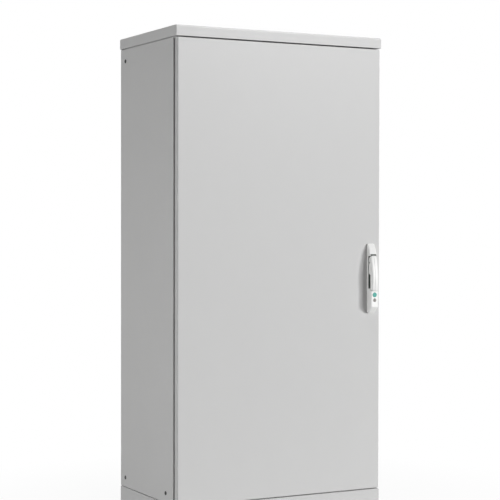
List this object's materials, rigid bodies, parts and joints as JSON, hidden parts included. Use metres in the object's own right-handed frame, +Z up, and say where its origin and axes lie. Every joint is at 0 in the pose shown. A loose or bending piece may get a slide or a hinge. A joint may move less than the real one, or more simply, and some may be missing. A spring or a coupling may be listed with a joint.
{
  "type": "floor-standing electrical enclosure",
  "caption": "Tall sheet-steel electrical enclosure on a plinth, with a single hinged door, a swing handle and rod lock, and a mounting plate inside.",
  "frame": {"origin": "on the floor, at the middle of the four floor-fixing holes", "axes": "+Z up, +X to the right as seen from the door, +Y towards the back"},
  "size_m": [1, 0.6439, 2.106],
  "materials": {
    "light_grey_paint": "fine textured powder coat",
    "galvanised": "galvanised sheet",
    "zinc_steel": "zinc plated",
    "dark_screw": "dark, matt",
    "seal": "foamed in place",
    "handle_body": "fine matt",
    "handle_lever": "fine matt",
    "button": "satin",
    "lock_metal": "satin",
    "guide_plastic": "matt"
  },
  "bodies": {
    "cabinet": {"bottom_rail_front": "light_grey_paint", "bottom_rail_left": "light_grey_paint", "bottom_rail_rear": "light_grey_paint", "bottom_rail_right": "light_grey_paint", "earth_stud": "zinc_steel", "gland_plate_front": "galvanised", "gland_plate_rear": "galvanised", "gland_plate_screws": "zinc_steel", "hinge_arm_1": "zinc_steel", "hinge_arm_2": "zinc_steel", "hinge_arm_3": "zinc_steel", "mounting_plate": "galvanised", "mounting_plate_bolts": "zinc_steel", "plate_rail_bottom": "galvanised", "plate_rail_top": "galvanised", "plinth_bolts": "zinc_steel", "plinth_front": "light_grey_paint", "plinth_gussets": "light_grey_paint", "plinth_left": "light_grey_paint", "plinth_rear": "light_grey_paint", "plinth_right": "light_grey_paint", "rear_panel": "light_grey_paint", "rear_panel_screws": "zinc_steel", "roof": "light_grey_paint", "roof_screws": "zinc_steel", "side_panel_left": "light_grey_paint", "side_panel_right": "light_grey_paint", "side_panel_screws": "dark_screw", "striker_bottom": "zinc_steel", "striker_top": "zinc_steel", "top_rail_front": "light_grey_paint", "top_rail_left": "light_grey_paint", "top_rail_rear": "light_grey_paint", "top_rail_right": "light_grey_paint", "upright_front_left": "light_grey_paint", "upright_front_right": "light_grey_paint", "upright_rear_left": "light_grey_paint", "upright_rear_right": "light_grey_paint"},
    "door": {"door_panel": "light_grey_paint", "door_gasket": "seal", "door_rail_left": "light_grey_paint", "door_rail_right": "light_grey_paint", "hinge_bracket_1": "zinc_steel", "hinge_bracket_2": "zinc_steel", "hinge_bracket_3": "zinc_steel", "hinge_pins": "zinc_steel", "handle_housing": "handle_body", "handle_gasket": "seal", "handle_screws": "zinc_steel", "lock_case": "zinc_steel", "lock_case_cover": "zinc_steel", "rod_guides": "guide_plastic"},
    "handle_turn": {"handle_rotor": "zinc_steel", "lock_pinion": "zinc_steel"},
    "lever": {"handle_lever": "handle_lever", "lever_pivot_pin": "zinc_steel"},
    "button": {"release_button": "button"},
    "barrel": {"lock_barrel": "lock_metal"},
    "upper_rod": {"upper_lock_rod": "zinc_steel"},
    "lower_rod": {"lower_lock_rod": "zinc_steel"}
  },
  "joints": [
    {"name": "door_hinge", "type": "hinge", "parent": "cabinet", "child": "door", "pos_m": [-0.48, -0.288, 1.077], "axis": [0, 0, -1], "range_deg": [0, 120]},
    {"name": "handle_turn", "type": "hinge", "parent": "door", "child": "handle_turn", "pos_m": [0.445, -0.3, 1.116], "axis": [0, 1, 0], "range_deg": [0, 90]},
    {"name": "lever_lift", "type": "hinge", "parent": "handle_turn", "child": "lever", "pos_m": [0.445, -0.322, 1.107], "axis": [-1, 0, 0], "range_deg": [0, 20]},
    {"name": "button_press", "type": "slide", "parent": "door", "child": "button", "axis": [0, 1, 0], "range_m": [0, 0.003], "stiffness_N_per_m": 400},
    {"name": "barrel_turn", "type": "hinge", "parent": "door", "child": "barrel", "pos_m": [0.445, -0.33, 0.942], "axis": [0, 1, 0], "range_deg": [0, 90]},
    {"name": "upper_rod_slide", "type": "slide", "parent": "door", "child": "upper_rod", "axis": [0, 0, -1], "range_m": [0, 0.0189]},
    {"name": "lower_rod_slide", "type": "slide", "parent": "door", "child": "lower_rod", "axis": [0, 0, 1], "range_m": [0, 0.0189]}
  ],
  "couplings": [
    {"joint": "upper_rod_slide", "follows": "handle_turn", "m_per_rad": 0.012},
    {"joint": "lower_rod_slide", "follows": "handle_turn", "m_per_rad": 0.012}
  ]
}
